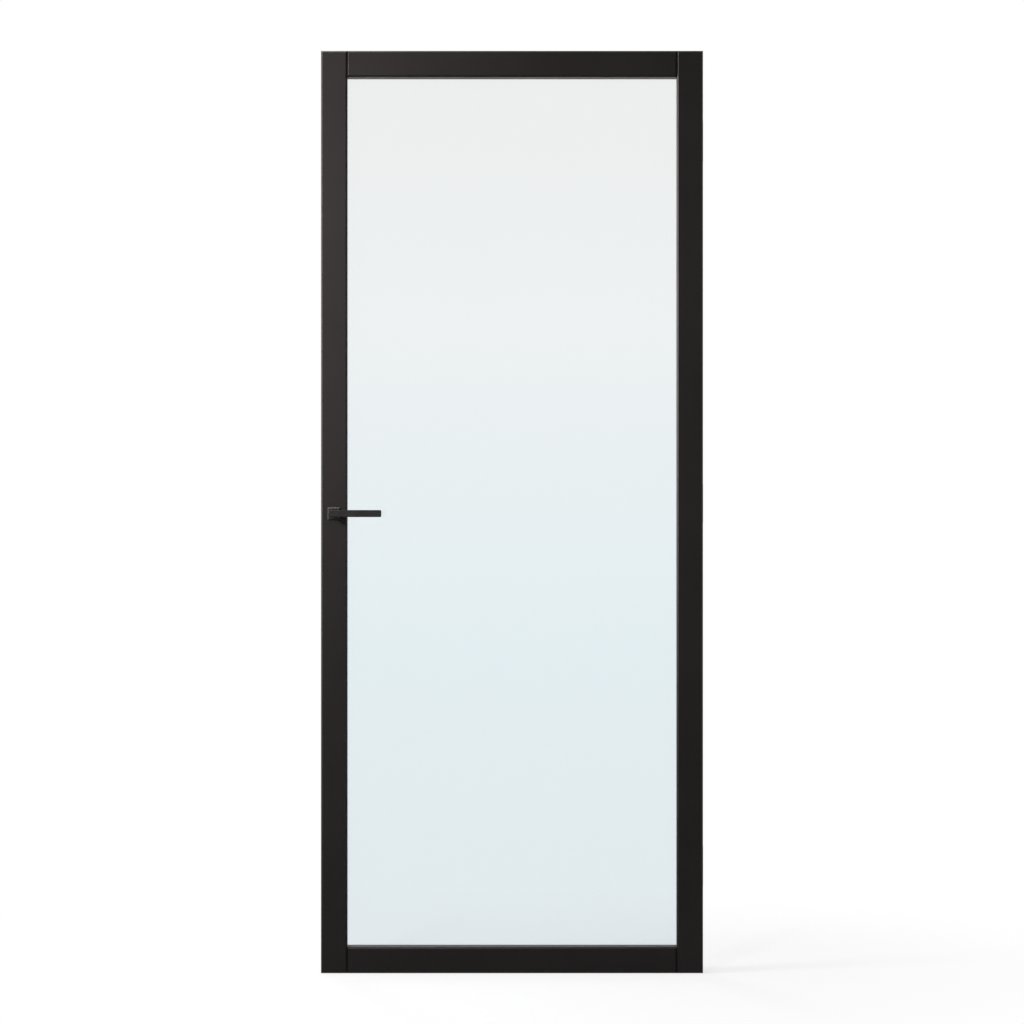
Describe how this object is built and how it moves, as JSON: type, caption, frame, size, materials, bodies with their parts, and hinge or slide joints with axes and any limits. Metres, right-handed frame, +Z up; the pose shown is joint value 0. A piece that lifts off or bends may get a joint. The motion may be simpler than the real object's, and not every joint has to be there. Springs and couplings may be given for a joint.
{
  "type": "glass interior door leaf",
  "caption": "Slim black stile-and-rail door leaf with one clear glass pane, a flat lever on a square rose, a magnetic lock and butt hinges.",
  "frame": {"origin": "middle of the leaf's bottom edge, halfway through its thickness", "axes": "+X to the right seen from the front, so the hinges are at +X; +Y away from the viewer, the way the leaf opens; +Z up"},
  "size_m": [0.8807, 0.152, 2.115],
  "materials": {
    "black_lacquer": "satin",
    "black_metal": "satin",
    "steel": "satin",
    "bolt_steel": "satin",
    "ring_steel": "satin",
    "grub_steel": "satin",
    "spring_steel": "satin",
    "zinc_plate": "satin",
    "clear_glass": "polished",
    "foam_tape": "matte",
    "block_plastic": "matte",
    "nylon": "satin",
    "beech": "matte"
  },
  "bodies": {
    "jamb_plates": {"top_hinge_frame_plate": "black_metal", "top_hinge_pin": "black_metal", "top_hinge_rings": "ring_steel", "middle_hinge_frame_plate": "black_metal", "middle_hinge_pin": "black_metal", "middle_hinge_rings": "ring_steel", "bottom_hinge_frame_plate": "black_metal", "bottom_hinge_pin": "black_metal", "bottom_hinge_rings": "ring_steel"},
    "leaf": {"lock_stile": "black_lacquer", "hinge_stile": "black_lacquer", "top_rail": "black_lacquer", "bottom_rail": "black_lacquer", "frame_dowels": "beech", "glass_pane": "clear_glass", "setting_blocks": "block_plastic", "front_glazing_tape": "foam_tape", "rear_glazing_tape": "foam_tape", "top_bead": "black_lacquer", "bottom_bead": "black_lacquer", "lock_side_bead": "black_lacquer", "hinge_side_bead": "black_lacquer", "bead_pins": "steel", "lock_case": "zinc_plate", "lock_cover": "zinc_plate", "lock_cover_screws": "zinc_plate", "lock_forend": "black_metal", "forend_screws": "black_metal", "follower_spring": "spring_steel", "retractor_spring": "spring_steel", "front_rose_base": "zinc_plate", "front_rose_cover": "black_metal", "front_rose_bush": "nylon", "front_rose_screws": "steel", "rear_rose_base": "zinc_plate", "rear_rose_cover": "black_metal", "rear_rose_bush": "nylon", "rear_rose_screws": "steel", "top_hinge_door_plate": "black_metal", "top_hinge_screws": "black_metal", "middle_hinge_door_plate": "black_metal", "middle_hinge_screws": "black_metal", "bottom_hinge_door_plate": "black_metal", "bottom_hinge_screws": "black_metal"},
    "handle": {"front_lever": "black_metal", "rear_lever": "black_metal", "spindle": "steel", "follower": "zinc_plate", "front_grub_screw": "grub_steel", "rear_grub_screw": "grub_steel"},
    "bolt": {"latch_bolt": "bolt_steel"}
  },
  "joints": [
    {"name": "leaf_swing", "type": "hinge", "parent": "jamb_plates", "child": "leaf", "pos_m": [0.43725, 0.0258, 1.0775], "axis": [0, 0, -1], "range_deg": [0, 175]},
    {"name": "handle_turn", "type": "hinge", "parent": "leaf", "child": "handle", "pos_m": [-0.408, 0, 1.054], "axis": [0, 1, 0], "range_deg": [0, 35], "stiffness_Nm_per_rad": 1.2, "springref_deg": -28.65, "deforming": ["follower_spring", "retractor_spring"]},
    {"name": "bolt_slide", "type": "slide", "parent": "leaf", "child": "bolt", "axis": [-1, 0, 0], "range_m": [0, 0.0095], "stiffness_N_per_m": 40, "springref_m": -0.01, "deforming": ["retractor_spring"]}
  ]
}
